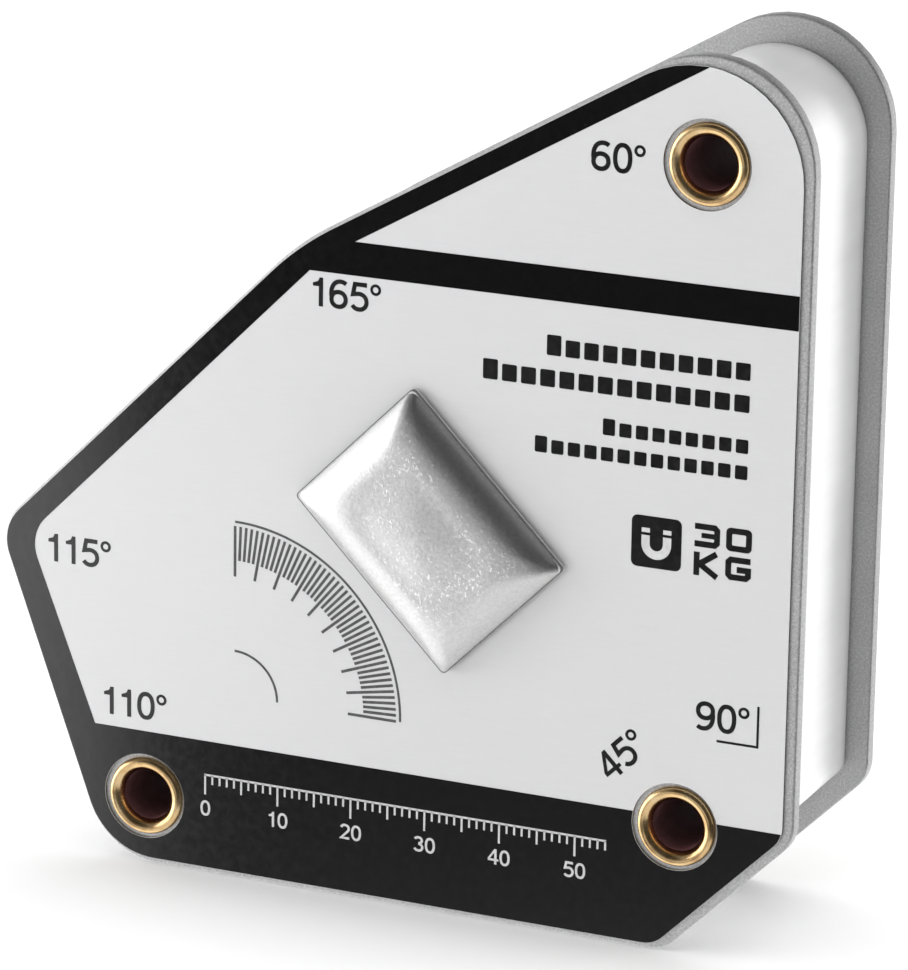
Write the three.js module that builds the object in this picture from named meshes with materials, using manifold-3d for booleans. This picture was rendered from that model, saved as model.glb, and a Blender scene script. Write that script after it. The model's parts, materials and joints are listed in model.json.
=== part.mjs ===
// Switchable welding magnet: two steel cheek plates with fixed working angles, an aluminium body
// between them, three hollow brass rivets through the corners, and a magnetic rotor in the middle
// that a knob on the front turns through a quarter turn between off and on.
// Millimetres. +X along the bottom edge, +Y from the front to the back, +Z up.
import * as THREE from 'three';
import { mergeVertices } from 'three/addons/utils/BufferGeometryUtils.js';
import Module from 'manifold-3d';

const wasm = await Module();
wasm.setup();

// ---- driving dimensions ----

// Outline of the cheek plates, starting at the sharp bottom-left corner
const BASE_WIDTH = 92;
const LEFT_EDGE = 44.2;
const SHOULDER_EDGE = 58.3;
const LEFT_ANGLE = 110;
const SHOULDER_ANGLE = 45;
const TOP_ANGLE = 30;
const CHAMFER = 16.4;
const CORNER_RADII = { bottomLeft: 10.2, left: 6, shoulder: 40, top: 13.3, chamfer: 5 };

// Layers from front to back
const PLATE = 2;
const DEPTH = 28;
const LABEL = 0.3;
const LABEL_MARGIN = { right: 1.3, bottom: 0.7, chamfer: 1.2, left: 0.35 };
const LABEL_TOP_RADIUS = 13.4;
const BODY_INSET = 2.9;
const BODY_TOP_RADIUS = 11.2;
const BODY_CHAMFER_RADIUS = 2.2;

// Hollow rivets, with each axis as [x, z] from the sharp bottom-left corner
const RIVET = { bore: 3.4, tube: 4.1, flange: 5.05, crest: 4.4, head: 0.9, flare: 0.6 };
const RIVET_AXES = {
  top: [78.9, 98.2],
  left: [5.7, 8.9],
  right: [77.1, 16.3],
};
const LABEL_HOLE = 5.5;
const LABEL_HOLE_SHIFT = [-0.2, -0.06];

// Gap between round pieces that fit in each other
const CLEARANCE = 0.1;

// Rotor and its surroundings, all on one axis
const AXIS = [44.5, 49.2];
const POCKET = 29.6;
const SHOE_OUTER = 29.4;
const SHOE_BORE = 15.5;
const ROTOR = 15;
const DIVIDER_WIDTH = 6;
const DIVIDER_GAP = 0.2;
const SHIM = 2.5;
const SHAFT = 3.9;
const BUSH_BORE = 4;
const BUSH_BARREL = 6;
const BUSH_FLANGE = 8;
const BUSH_FLANGE_THICKNESS = 1;
const CAP = 4;
const WASHER = 0.6;
const END_PLAY = 0.1;
const MAGNET_HEIGHT = 12;
const MAGNET_WIDTH = 26.5;
const SCREW = { shank: 1.4, hole: 1.55, head: 2.7, seat: 2.9, headHeight: 1.6, seatDepth: 1.8 };
const SCREW_OFFSET = 8.8;

// Quarter-turn stop: a fixed pin in a notch in the rim of the front cap
const TRAVEL = 90;
const STOP_PIN = 1.5;
const NOTCH_RADIUS = 12.4;
const STOP_CLEARANCE = 0.9;

// Seal ring in a groove of the shaft
const SEAL = { groove: 3, inner: 3.05, outer: 3.93, from: 0.8, to: 2 };

// Knob: a pillow on a sharp rectangular rim, its long side falling to the right at 45 degrees.
// Each flank is an arc that starts at the slope from the plate's plane and ends flat at the top.
const KNOB = { length: 28.4, width: 21.9, corner: 0.6, gap: 0.5, rim: 0.8, shoulder: 5.3, slope: 62, turn: 45 };
const KNOB_BORE_DEPTH = 3.1;
const SHAFT_IN_KNOB = 2.9;
const SHAFT_FLAT = 3;

// Facets
const ARC_STEPS = 6;
const FINE = 40;
const MEDIUM = 24;
const SMALL = 12;
const TINY = 8;
const HEAD_STEPS = 3;
const CUT_OVERRUN = 1;
const MERGE_DISTANCE = 1e-4;

const rad = THREE.MathUtils.degToRad;

// ---- materials ----

const metal = (color, roughness, metalness = 1) =>
  new THREE.MeshStandardMaterial({ color, roughness, metalness });

const finishes = {
  sheetSteel: () => metal(0xa9aaac, 0.5),
  castAluminium: () => metal(0xe6e7e8, 0.25),
  satinMetal: () => metal(0xc9cacb, 0.35),
  print: () => metal(0xdcdddd, 0.45, 0.4),
  brass: () => metal(0xc9a052, 0.25),
  softIron: () => metal(0x6f7173, 0.55),
  plating: () => metal(0xbfc1c4, 0.15),
  darkSteel: () => metal(0x3a3b3d, 0.4),
  nylon: () => metal(0xe9e6dc, 0.6, 0),
  rubber: () => metal(0x1c1c1c, 0.8, 0),
};

// ---- geometry helpers ----

// The sharp corners of the cheek plates, walked anticlockwise seen from the front
function outlineCorners() {
  const along = (from, angle, length) =>
    new THREE.Vector2(from.x + length * Math.cos(rad(angle)), from.y + length * Math.sin(rad(angle)));
  const bottomLeft = new THREE.Vector2(0, 0);
  const left = along(bottomLeft, LEFT_ANGLE, LEFT_EDGE);
  const shoulder = along(left, SHOULDER_ANGLE, SHOULDER_EDGE);
  const rise = (BASE_WIDTH - shoulder.x) * Math.tan(rad(TOP_ANGLE));
  return {
    bottomLeft,
    chamferFoot: new THREE.Vector2(BASE_WIDTH - CHAMFER, 0),
    chamferHead: new THREE.Vector2(BASE_WIDTH, CHAMFER),
    top: new THREE.Vector2(BASE_WIDTH, shoulder.y + rise),
    shoulder,
    left,
  };
}

// Moves each edge inward by its own margin and gives the new corners
function insetCorners(margins) {
  const corners = Object.values(outlineCorners());
  const lines = corners.map((corner, i) => {
    const next = corners[(i + 1) % corners.length];
    const direction = next.clone().sub(corner).normalize();
    const inward = new THREE.Vector2(-direction.y, direction.x);
    return { point: corner.clone().addScaledVector(inward, margins[i]), direction };
  });
  return lines.map((line, i) => {
    const before = lines[(i + lines.length - 1) % lines.length];
    const gap = line.point.clone().sub(before.point);
    const reach = gap.cross(line.direction) / before.direction.cross(line.direction);
    return before.point.clone().addScaledVector(before.direction, reach);
  });
}

// A closed outline with each corner rounded by an arc
function roundedShape(corners, radii) {
  const shape = new THREE.Shape();
  corners.forEach((corner, i) => {
    const before = corners[(i + corners.length - 1) % corners.length];
    const after = corners[(i + 1) % corners.length];
    const into = corner.clone().sub(before).normalize();
    const out = after.clone().sub(corner).normalize();
    const turn = Math.atan2(into.cross(out), into.dot(out));
    const tangent = radii[i] * Math.tan(turn / 2);
    const centre = corner.clone().addScaledVector(into, -tangent)
      .add(new THREE.Vector2(-into.y, into.x).multiplyScalar(radii[i]));
    const start = Math.atan2(into.y, into.x) - Math.PI / 2;
    shape.absarc(centre.x, centre.y, radii[i], start, start + turn, false);
  });
  shape.closePath();
  return shape;
}

// Radii go in the corners' order: bottom left, chamfer foot, chamfer head, top, shoulder, left
function plateShape() {
  const r = CORNER_RADII;
  return roundedShape(Object.values(outlineCorners()),
    [r.bottomLeft, r.chamfer, r.chamfer, r.top, r.shoulder, r.left]);
}

function bodyShape() {
  const d = BODY_INSET;
  const r = CORNER_RADII;
  return roundedShape(insetCorners([d, d, d, d, d, d]),
    [r.bottomLeft - d, BODY_CHAMFER_RADIUS, BODY_CHAMFER_RADIUS, BODY_TOP_RADIUS,
      r.shoulder - d, r.left - d]);
}

function labelShape() {
  const m = LABEL_MARGIN;
  const r = CORNER_RADII;
  return roundedShape(insetCorners([m.bottom, m.chamfer, m.right, m.left, m.left, m.left]),
    [r.bottomLeft - m.bottom, r.chamfer - m.chamfer, r.chamfer - m.right, LABEL_TOP_RADIUS,
      r.shoulder - m.left, r.left - m.left]);
}

// A round hole as a polygon with the same facets as the pieces that pass through it
function addHole(shape, [x, z], radius, facets = MEDIUM) {
  const hole = new THREE.Path();
  for (let i = 0; i < facets; i += 1) {
    const angle = (2 * Math.PI * i) / facets;
    const px = x + radius * Math.sin(angle);
    const pz = z + radius * Math.cos(angle);
    if (i === 0) hole.moveTo(px, pz);
    else hole.lineTo(px, pz);
  }
  hole.closePath();
  shape.holes.push(hole);
}

// Extrudes a front-view outline from depth y0 back to y1
function slab(shape, y0, y1, curveSegments = ARC_STEPS) {
  const geometry = new THREE.ExtrudeGeometry(shape, { depth: y1 - y0, bevelEnabled: false, curveSegments });
  geometry.rotateX(Math.PI / 2);
  geometry.translate(0, y1, 0);
  return geometry;
}

// Turns a profile of [radius, depth] points about a front-to-back axis through [x, z]
function turned(profile, [x, z], facets = MEDIUM) {
  const points = profile.map(([r, y]) => new THREE.Vector2(r, y));
  const geometry = new THREE.LatheGeometry(points, facets);
  geometry.translate(x, 0, z);
  return geometry;
}

// A ring or a solid disc between two depths
function ring(inner, outer, y0, y1, axis, facets) {
  const profile = inner > 0
    ? [[inner, y0], [outer, y0], [outer, y1], [inner, y1], [inner, y0]]
    : [[0, y0], [outer, y0], [outer, y1], [0, y1]];
  return turned(profile, axis, facets);
}

// A closed mesh as a solid for cutting and joining
function toSolid(geometry) {
  const bare = geometry.clone();
  bare.deleteAttribute('normal');
  bare.deleteAttribute('uv');
  const merged = mergeVertices(bare, MERGE_DISTANCE);
  const kept = [];
  const index = merged.index.array;
  for (let i = 0; i < index.length; i += 3) {
    const [a, b, c] = [index[i], index[i + 1], index[i + 2]];
    if (a !== b && b !== c && c !== a) kept.push(a, b, c);
  }
  return new wasm.Manifold(new wasm.Mesh({
    numProp: 3,
    vertProperties: new Float32Array(merged.attributes.position.array),
    triVerts: new Uint32Array(kept),
  }));
}

function toGeometry(solid) {
  const mesh = solid.getMesh();
  const geometry = new THREE.BufferGeometry();
  geometry.setAttribute('position', new THREE.BufferAttribute(new Float32Array(mesh.vertProperties), 3));
  geometry.setIndex(new THREE.BufferAttribute(new Uint32Array(mesh.triVerts), 1));
  return geometry;
}

function cut(base, ...tools) {
  return toGeometry(tools.reduce((solid, tool) => solid.subtract(toSolid(tool)), toSolid(base)));
}

function join(base, ...others) {
  return toGeometry(others.reduce((solid, other) => solid.add(toSolid(other)), toSolid(base)));
}

function common(first, second) {
  return toGeometry(toSolid(first).intersect(toSolid(second)));
}

// ---- layers and stations along the axis ----

const backFace = DEPTH - PLATE;
const frontWasher = PLATE + BUSH_FLANGE_THICKNESS + END_PLAY;
const capFront = frontWasher + WASHER + END_PLAY;
const coreFront = capFront + CAP;
const coreBack = DEPTH - coreFront;
const capBack = DEPTH - capFront;
const rearWasher = capBack + END_PLAY;
const knobFoot = -LABEL - KNOB.gap;
const knobCrown = KNOB.shoulder * Math.tan(rad(KNOB.slope) / 2);
const rivetNames = Object.keys(RIVET_AXES);

// ---- fixed pieces ----

function cheekPlate(y0) {
  const shape = plateShape();
  for (const name of rivetNames) addHole(shape, RIVET_AXES[name], RIVET.tube + CLEARANCE);
  addHole(shape, AXIS, BUSH_BARREL);
  return slab(shape, y0, y0 + PLATE);
}

function bodyFrame() {
  const shape = bodyShape();
  for (const name of rivetNames) addHole(shape, RIVET_AXES[name], RIVET.tube + CLEARANCE);
  addHole(shape, AXIS, POCKET, FINE);
  return slab(shape, PLATE, backFace);
}

function frontLabel() {
  const shape = labelShape();
  for (const name of rivetNames) {
    const [x, z] = RIVET_AXES[name];
    addHole(shape, [x + LABEL_HOLE_SHIFT[0], z + LABEL_HOLE_SHIFT[1]], LABEL_HOLE);
  }
  addHole(shape, AXIS, BUSH_BARREL);
  return slab(shape, -LABEL, 0);
}

// A tube with both ends rolled outward over the cheek plates
function hollowRivet(axis) {
  const { bore, tube, flange, crest, head, flare } = RIVET;
  const frontHead = [];
  for (let i = 0; i < HEAD_STEPS; i += 1) {
    const angle = (Math.PI / 2) * (i / HEAD_STEPS);
    frontHead.push([crest - (crest - bore) * Math.cos(angle), flare - (flare + head) * Math.sin(angle)]);
  }
  for (let i = 0; i <= HEAD_STEPS; i += 1) {
    const angle = (Math.PI / 2) * (i / HEAD_STEPS);
    frontHead.push([crest + (flange - crest) * Math.sin(angle), -head * Math.cos(angle)]);
  }
  frontHead.push([tube, 0]);
  const rearHead = frontHead.map(([r, y]) => [r, DEPTH - y]).reverse();
  return turned([...frontHead, ...rearHead, frontHead[0]], axis);
}

function bush(front) {
  const near = front ? 0 : DEPTH;
  const inward = front ? 1 : -1;
  const barrelEnd = near + inward * PLATE;
  const flangeEnd = barrelEnd + inward * BUSH_FLANGE_THICKNESS;
  const barrel = BUSH_BARREL - CLEARANCE;
  const profile = [
    [BUSH_BORE, near], [barrel, near], [barrel, barrelEnd], [BUSH_FLANGE, barrelEnd],
    [BUSH_FLANGE, flangeEnd], [BUSH_BORE, flangeEnd], [BUSH_BORE, near],
  ];
  return turned(front ? profile : profile.reverse(), AXIS);
}

// Half of a thick ring, to the left (side -1) or right (side 1) of the divider bars
function halfRing(side, y0, y1) {
  const [x, z] = AXIS;
  const edge = DIVIDER_WIDTH / 2 + DIVIDER_GAP;
  const outerStart = -Math.acos(edge / SHOE_OUTER);
  const innerStart = Math.acos(edge / SHOE_BORE);
  const shape = new THREE.Shape();
  if (side > 0) {
    shape.absarc(x, z, SHOE_OUTER, outerStart, -outerStart, false);
    shape.absarc(x, z, SHOE_BORE, innerStart, -innerStart, true);
  } else {
    shape.absarc(x, z, SHOE_OUTER, Math.PI + outerStart, Math.PI - outerStart, false);
    shape.absarc(x, z, SHOE_BORE, Math.PI + innerStart, Math.PI - innerStart, true);
  }
  shape.closePath();
  return slab(shape, y0, y1, FINE / 2);
}

// A bar above (side 1) or below (side -1) the rotor
function dividerBar(side) {
  const [x, z] = AXIS;
  const inner = SHOE_BORE + DIVIDER_GAP;
  const outer = SHOE_OUTER - DIVIDER_GAP;
  const bar = new THREE.BoxGeometry(DIVIDER_WIDTH, backFace - PLATE, outer - inner);
  bar.translate(x, (PLATE + backFace) / 2, z + (side * (inner + outer)) / 2);
  return bar;
}

// A plain cylinder along Z, seen from the front as an upright pin
function uprightPin(radius, [x, z], y, from, to) {
  const pin = new THREE.CylinderGeometry(radius, radius, to - from, SMALL);
  pin.rotateX(Math.PI / 2);
  pin.translate(x, y, z + (from + to) / 2);
  return pin;
}

const stopDepth = (capFront + coreFront) / 2;

function upperDivider() {
  const hole = uprightPin(STOP_PIN + CLEARANCE, AXIS, stopDepth, SHOE_BORE - CUT_OVERRUN, POCKET);
  return cut(dividerBar(1), hole);
}

function stopPin() {
  const tip = NOTCH_RADIUS + 2 * DIVIDER_GAP;
  return uprightPin(STOP_PIN, AXIS, stopDepth, tip, SHOE_OUTER - DIVIDER_GAP);
}

// ---- rotor pieces ----

// Screw axes above and below the rotor's own axis
const screwAxes = [1, -1].map((side) => [AXIS[0], AXIS[1] + side * SCREW_OFFSET]);

function capDisc(withNotch) {
  const [x, z] = AXIS;
  const shape = new THREE.Shape();
  if (withNotch) {
    const pinHalf = THREE.MathUtils.radToDeg(Math.asin(STOP_PIN / NOTCH_RADIUS)) + STOP_CLEARANCE;
    const from = rad(90 - pinHalf);
    const to = rad(90 + TRAVEL + pinHalf);
    shape.absarc(x, z, ROTOR, to, from + 2 * Math.PI, false);
    shape.absarc(x, z, NOTCH_RADIUS, from, to, false);
    shape.closePath();
  } else {
    shape.absarc(x, z, ROTOR, 0, 2 * Math.PI, false);
  }
  return shape;
}

// The front cap with its shaft, which has a seal groove and ends in a flat that turns with the knob
function frontCap() {
  const shape = capDisc(true);
  for (const axis of screwAxes) addHole(shape, axis, SCREW.hole, SMALL);
  const disc = slab(shape, capFront, coreFront, FINE / 2);
  const tip = knobFoot - SHAFT_IN_KNOB;
  const shaft = turned([
    [0, tip], [SHAFT, tip], [SHAFT, SEAL.from], [SEAL.groove, SEAL.from], [SEAL.groove, SEAL.to],
    [SHAFT, SEAL.to], [SHAFT, coreFront - CUT_OVERRUN], [0, coreFront - CUT_OVERRUN],
  ], AXIS);
  const seats = screwAxes.map((axis) =>
    ring(0, SCREW.seat, capFront - CUT_OVERRUN, capFront + SCREW.seatDepth, axis, SMALL));
  const flat = besideFlat(SHAFT_FLAT, SHAFT_IN_KNOB + CUT_OVERRUN);
  return cut(join(disc, shaft), ...seats, onKnob(flat));
}

function rearCap() {
  const shape = capDisc(false);
  for (const axis of screwAxes) addHole(shape, axis, SCREW.hole, SMALL);
  const disc = slab(shape, coreBack, capBack, FINE);
  const trunnion = ring(0, SHAFT, coreBack + CUT_OVERRUN, DEPTH - 2 * END_PLAY, AXIS);
  return join(disc, trunnion);
}

// A steel segment of the rotor above (side 1) or below (side -1) the magnets
function poleSegment(side) {
  const [x, z] = AXIS;
  const half = Math.asin(MAGNET_HEIGHT / 2 / ROTOR);
  const shape = new THREE.Shape();
  const start = side > 0 ? half : Math.PI + half;
  const end = side > 0 ? Math.PI - half : 2 * Math.PI - half;
  shape.absarc(x, z, ROTOR, start, end, false);
  shape.closePath();
  addHole(shape, screwAxes[side > 0 ? 0 : 1], SCREW.hole, SMALL);
  return slab(shape, coreFront, coreBack, FINE / 2);
}

function magnetBlock(y0, y1) {
  const block = new THREE.BoxGeometry(MAGNET_WIDTH, y1 - y0, MAGNET_HEIGHT);
  block.translate(AXIS[0], (y0 + y1) / 2, AXIS[1]);
  return block;
}

function rotorScrew(axis) {
  const seat = capFront + SCREW.seatDepth;
  const top = seat - SCREW.headHeight;
  const end = capBack - DIVIDER_GAP;
  return turned([
    [0, top], [SCREW.head, top], [SCREW.head, seat], [SCREW.shank, seat], [SCREW.shank, end], [0, end],
  ], axis, SMALL);
}

function sealRing() {
  const middle = (SEAL.inner + SEAL.outer) / 2;
  const radius = (SEAL.outer - SEAL.inner) / 2;
  const y = (SEAL.from + SEAL.to) / 2;
  const points = [];
  for (let i = 0; i < TINY; i += 1) {
    const angle = (2 * Math.PI * i) / TINY;
    points.push([middle + radius * Math.cos(angle), y + radius * Math.sin(angle)]);
  }
  return turned([...points, points[0]], AXIS);
}

// ---- knob ----

// Turns a piece made about the origin to the knob's angle and puts it on the axis
function onKnob(geometry) {
  geometry.rotateY(-rad(KNOB.turn));
  geometry.translate(AXIS[0], 0, AXIS[1]);
  return geometry;
}

// The space beside the flat of the shaft's end, from the knob's foot forward
function besideFlat(offset, length) {
  const block = new THREE.BoxGeometry(SHAFT, length, 3 * SHAFT);
  block.translate(-offset - SHAFT / 2, knobFoot - length / 2, 0);
  return block;
}

// A bar as long as asked whose section rises over a rim and an arc on each side to a flat top
function pillowBar(width, length) {
  const { rim, shoulder, slope } = KNOB;
  const radius = shoulder / Math.sin(rad(slope));
  const centreX = width / 2 - shoulder;
  const centreY = rim + knobCrown - radius;
  const section = new THREE.Shape();
  section.moveTo(-width / 2, 0);
  section.lineTo(width / 2, 0);
  section.absarc(centreX, centreY, radius, rad(90 - slope), rad(90), false);
  section.absarc(-centreX, centreY, radius, rad(90), rad(90 + slope), false);
  section.closePath();
  const bar = new THREE.ExtrudeGeometry(section, {
    depth: length, bevelEnabled: false, curveSegments: ARC_STEPS,
  });
  bar.translate(0, 0, -length / 2);
  bar.rotateX(Math.PI);
  return bar;
}

// The space over the knob's footprint, with its four upright edges slightly rounded
function knobFootprint() {
  const [x, z] = [KNOB.width / 2, KNOB.length / 2];
  const corners = [[-x, -z], [x, -z], [x, z], [-x, z]].map((corner) => new THREE.Vector2(...corner));
  const shape = roundedShape(corners, corners.map(() => KNOB.corner));
  return slab(shape, -KNOB.rim - knobCrown - CUT_OVERRUN, CUT_OVERRUN);
}

// The pillow is what two crossed bars and the rounded footprint share
function knob() {
  const { length, width } = KNOB;
  const bars = common(pillowBar(width, length), pillowBar(length, width).rotateY(Math.PI / 2));
  const pillow = common(bars, knobFootprint());
  pillow.translate(0, knobFoot, 0);
  const round = ring(0, BUSH_BORE, knobFoot - KNOB_BORE_DEPTH, knobFoot + CUT_OVERRUN, [0, 0]);
  const bore = cut(round, besideFlat(SHAFT_FLAT + CLEARANCE, 2 * KNOB_BORE_DEPTH));
  return onKnob(cut(pillow, bore));
}

// ---- assembly ----

const assembly = new THREE.Group();

// The origin is under the middle of the whole object: half way across and half way through
function frameOrigin() {
  const corner = outlineCorners().left;
  const bisector = rad((LEFT_ANGLE - 180 + SHOULDER_ANGLE) / 2);
  const cornerAngle = rad(180 - (LEFT_ANGLE - SHOULDER_ANGLE));
  const toCentre = CORNER_RADII.left / Math.sin(cornerAngle / 2);
  const leftmost = corner.x + toCentre * Math.cos(bisector) - CORNER_RADII.left;
  const front = knobFoot - KNOB.rim - knobCrown;
  const back = DEPTH + RIVET.head;
  return [(leftmost + BASE_WIDTH) / 2, (front + back) / 2];
}

const [originX, originY] = frameOrigin();
assembly.position.set(-originX, -originY, 0);

function add(name, geometry, material) {
  const mesh = new THREE.Mesh(geometry, material);
  mesh.name = name;
  assembly.add(mesh);
}

add('front_plate', cheekPlate(0), finishes.sheetSteel());
add('back_plate', cheekPlate(backFace), finishes.sheetSteel());
add('body_frame', bodyFrame(), finishes.castAluminium());
add('front_label', frontLabel(), finishes.print());
for (const name of rivetNames) add(`${name}_rivet`, hollowRivet(RIVET_AXES[name]), finishes.brass());
add('front_bush', bush(true), finishes.brass());
add('rear_bush', bush(false), finishes.brass());
add('left_pole_shoe', halfRing(-1, PLATE, backFace - SHIM), finishes.softIron());
add('right_pole_shoe', halfRing(1, PLATE + SHIM, backFace), finishes.softIron());
add('rear_shim', halfRing(-1, backFace - SHIM, backFace), finishes.castAluminium());
add('front_shim', halfRing(1, PLATE, PLATE + SHIM), finishes.castAluminium());
add('upper_divider', upperDivider(), finishes.castAluminium());
add('lower_divider', dividerBar(-1), finishes.castAluminium());
add('stop_pin', stopPin(), finishes.darkSteel());

const coreMiddle = (coreFront + coreBack) / 2;
add('rotor_front_cap', frontCap(), finishes.brass());
add('rotor_rear_cap', rearCap(), finishes.brass());
add('upper_rotor_pole', poleSegment(1), finishes.softIron());
add('lower_rotor_pole', poleSegment(-1), finishes.softIron());
add('front_magnet', magnetBlock(coreFront, coreMiddle), finishes.plating());
add('rear_magnet', magnetBlock(coreMiddle, coreBack), finishes.plating());
add('upper_rotor_screw', rotorScrew(screwAxes[0]), finishes.darkSteel());
add('lower_rotor_screw', rotorScrew(screwAxes[1]), finishes.darkSteel());
add('front_thrust_washer', ring(BUSH_BORE, BUSH_FLANGE, frontWasher, frontWasher + WASHER, AXIS),
  finishes.nylon());
add('rear_thrust_washer', ring(BUSH_BORE, BUSH_FLANGE, rearWasher, rearWasher + WASHER, AXIS),
  finishes.nylon());
add('shaft_seal_ring', sealRing(), finishes.rubber());
add('knob', knob(), finishes.satinMetal());

export default assembly;
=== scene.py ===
"""Looks of a switchable welding magnet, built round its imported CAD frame. Metres, +Z up."""
import json
from math import atan2, cos, degrees, pi, radians, sin, tan

import bmesh
import bpy
from mathutils import Matrix, Vector
from mathutils.geometry import tessellate_polygon


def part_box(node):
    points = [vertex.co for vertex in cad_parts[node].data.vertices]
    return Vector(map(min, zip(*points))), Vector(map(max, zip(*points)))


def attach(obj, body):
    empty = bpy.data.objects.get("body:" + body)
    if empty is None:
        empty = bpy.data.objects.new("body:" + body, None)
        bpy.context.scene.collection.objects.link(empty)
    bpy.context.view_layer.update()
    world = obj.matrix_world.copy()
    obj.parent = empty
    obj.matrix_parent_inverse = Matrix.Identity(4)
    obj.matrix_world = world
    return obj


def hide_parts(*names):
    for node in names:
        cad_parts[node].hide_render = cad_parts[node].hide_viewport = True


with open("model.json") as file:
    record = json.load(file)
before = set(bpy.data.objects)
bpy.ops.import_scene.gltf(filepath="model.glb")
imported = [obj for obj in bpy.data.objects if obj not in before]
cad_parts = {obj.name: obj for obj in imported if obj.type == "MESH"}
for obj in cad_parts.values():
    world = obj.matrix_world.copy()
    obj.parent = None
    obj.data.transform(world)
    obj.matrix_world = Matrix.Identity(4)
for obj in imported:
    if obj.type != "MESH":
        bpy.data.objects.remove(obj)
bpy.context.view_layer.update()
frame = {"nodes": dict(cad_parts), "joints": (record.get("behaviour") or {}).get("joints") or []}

# ---------------------------------------------------------------- driving dimensions, in millimetres
# x runs right from the sharp bottom-left corner, y back from the front plate's face, z up.

MM = 0.001

BASE_WIDTH = 92.0
LEFT_EDGE, LEFT_ANGLE = 44.2, 110
SHOULDER_EDGE, SHOULDER_ANGLE = 58.3, 45
TOP_ANGLE = 30
CHAMFER = 16.4
# corners in order: bottom left, chamfer foot, chamfer head, top, shoulder, left
PLATE_RADII = (10.2, 5.0, 5.0, 13.3, 40.0, 6.0)
BODY_RADII = (7.3, 2.2, 2.2, 11.2, 37.1, 3.1)
BODY_INSET = 2.9
# edges in order: bottom, chamfer, right, top, shoulder, left
LABEL_MARGINS = (0.7, 1.2, 1.3, 0.35, 0.35, 0.35)
LABEL_RADII = (9.5, 3.8, 3.7, 13.4, 39.65, 5.65)
PLATE_EDGE = 0.28
BODY_EDGE = 0.5
LABEL_EDGE = 0.05
RIVET_HOLE = 4.2
LABEL_HOLE = 5.5
LABEL_HOLE_SHIFT = (-0.2, -0.06)
BUSH_HOLE = 6.0
POCKET = 29.6

INK = 0.03
STRIPE_LOW, STRIPE_HIGH = 79.6, 83.8
BAND_TOP = 17.45
UPPER_BORDER = 2.96
SHOULDER_BORDER = 3.47
FIELD_LEFT_FOOT = -1.45
FIELD_LEFT_ANGLE = 111.3
FIELD_CORNER = 5.0

KNOB_LENGTH, KNOB_WIDTH, KNOB_TURN = 28.4, 21.9, 45
KNOB_RIM, KNOB_SHOULDER, KNOB_SLOPE = 0.8, 5.3, 62
KNOB_DOME = 0.35
KNOB_LEDGE, KNOB_LINE = 0.17, 0.12
KNOB_BRIGHT_RIM = 0.35
KNOB_CORNERS = (0.6, 1.1, 4.4)
KNOB_BORE, KNOB_BORE_DEPTH = 4.0, 3.1

# ---------------------------------------------------------------- places, from the frame

plate_low, plate_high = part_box("front_plate")
back_low, back_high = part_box("back_plate")
label_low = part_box("front_label")[0]
ORIGIN = Vector((plate_high.x - BASE_WIDTH * MM, plate_low.y, plate_low.z))


def to_sketch(point):
    """A point of the frame in sketch millimetres."""
    return (Vector(point) - ORIGIN) / MM


def middle(node):
    low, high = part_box(node)
    return to_sketch((low + high) / 2)


PLATE = to_sketch(plate_high).y
DEPTH = to_sketch(back_high).y
BACK_FACE = to_sketch(back_low).y
LABEL_FACE = to_sketch(label_low).y
AXIS = to_sketch(frame["joints"][0]["pos_m"])
RIVETS = {name: middle(f"{name}_rivet") for name in ("top", "left", "right")}
KNOB_FOOT = to_sketch(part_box("knob")[1]).y

# ---------------------------------------------------------------- camera

CAMERA_AZIMUTH = 23.646
CAMERA_ELEVATION = 16.583
CAMERA_ROLL = 0.904
CAMERA_TARGET = Vector((0.002686, 0.000552, 0.050991))
CAMERA_DISTANCE = 0.68574
SENSOR = 36.0
LENS = 221.06


def add_camera():
    azimuth, elevation = radians(CAMERA_AZIMUTH), radians(CAMERA_ELEVATION)
    outward = Vector((sin(azimuth) * cos(elevation), -cos(azimuth) * cos(elevation), sin(elevation)))
    camera = bpy.data.objects.new("camera", bpy.data.cameras.new("camera"))
    camera.data.sensor_fit = "HORIZONTAL"
    camera.data.sensor_width = SENSOR
    camera.data.lens = LENS
    camera.data.clip_start = 0.01
    camera.location = CAMERA_TARGET + outward * CAMERA_DISTANCE
    level = outward.to_track_quat("Z", "Y").to_matrix().to_4x4()
    camera.rotation_euler = (level @ Matrix.Rotation(radians(CAMERA_ROLL), 4, "Z")).to_euler()
    bpy.context.scene.collection.objects.link(camera)
    bpy.context.scene.camera = camera


# ---------------------------------------------------------------- materials


FLOOR_GLOW = 0.1
# normal Y at which the knob's painted glints are gone, and at which they are full
GLINT_FADE, GLINT_FULL = -0.86, -0.97


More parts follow.
